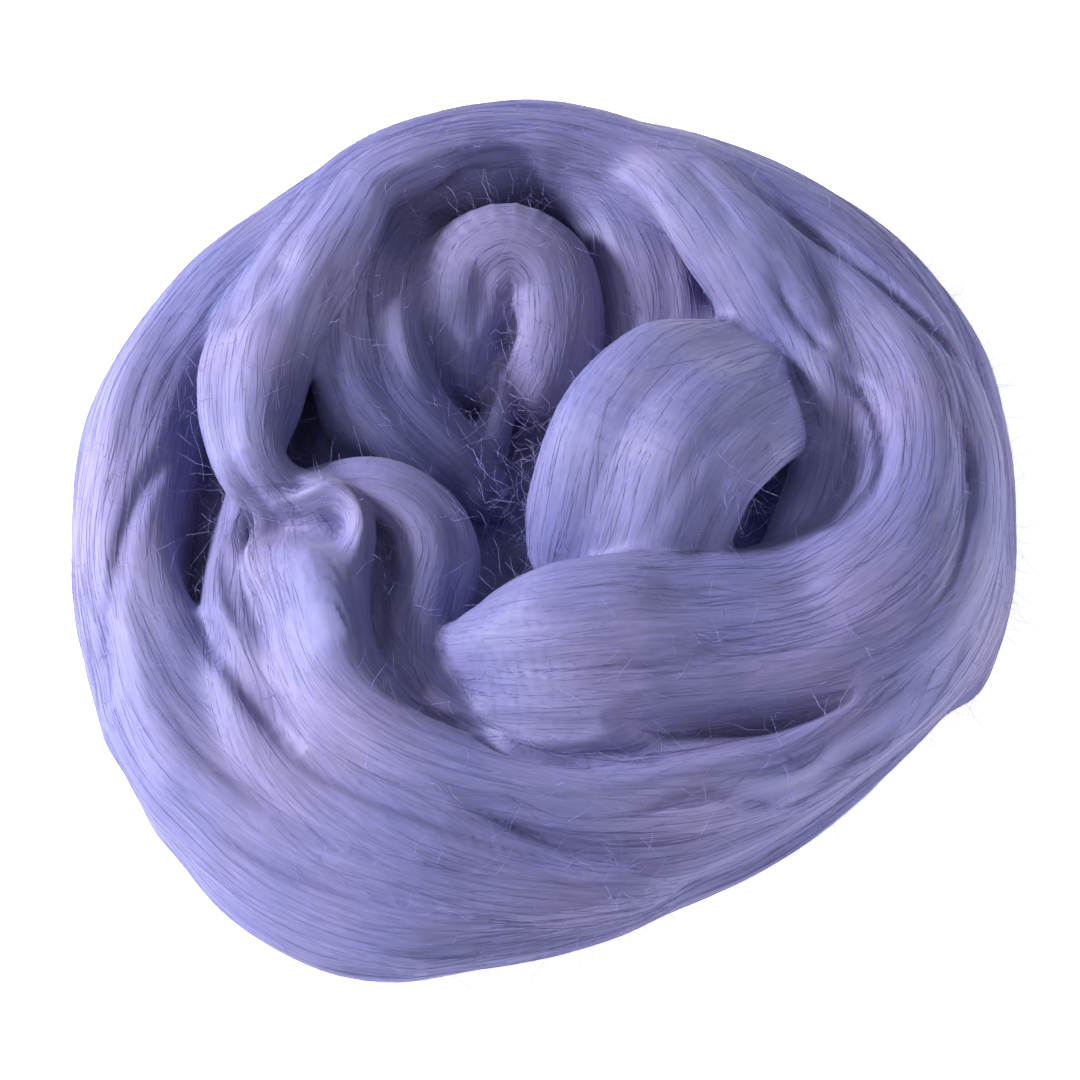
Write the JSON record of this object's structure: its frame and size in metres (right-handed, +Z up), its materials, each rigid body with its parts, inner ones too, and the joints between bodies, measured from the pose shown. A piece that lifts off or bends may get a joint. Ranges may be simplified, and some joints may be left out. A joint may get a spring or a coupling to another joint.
{
  "type": "viscose roving",
  "caption": "Long silky sliver of combed viscose fibre coiled by hand into a low open nest, with soft laps running round a folded middle.",
  "frame": {"origin": "on the surface, under the middle of the nest's outline", "axes": "+Z up out of the surface, +X to the right and +Y to the back when the nest is seen from its front, where the low laps are"},
  "size_m": [0.2529, 0.2474, 0.0715],
  "materials": {
    "viscose_fibre": "silky lavender-blue viscose fibre, combed straight, soft sheen along the laps"
  },
  "bodies": {
    "root": {"roving": "viscose_fibre"}
  },
  "joints": []
}
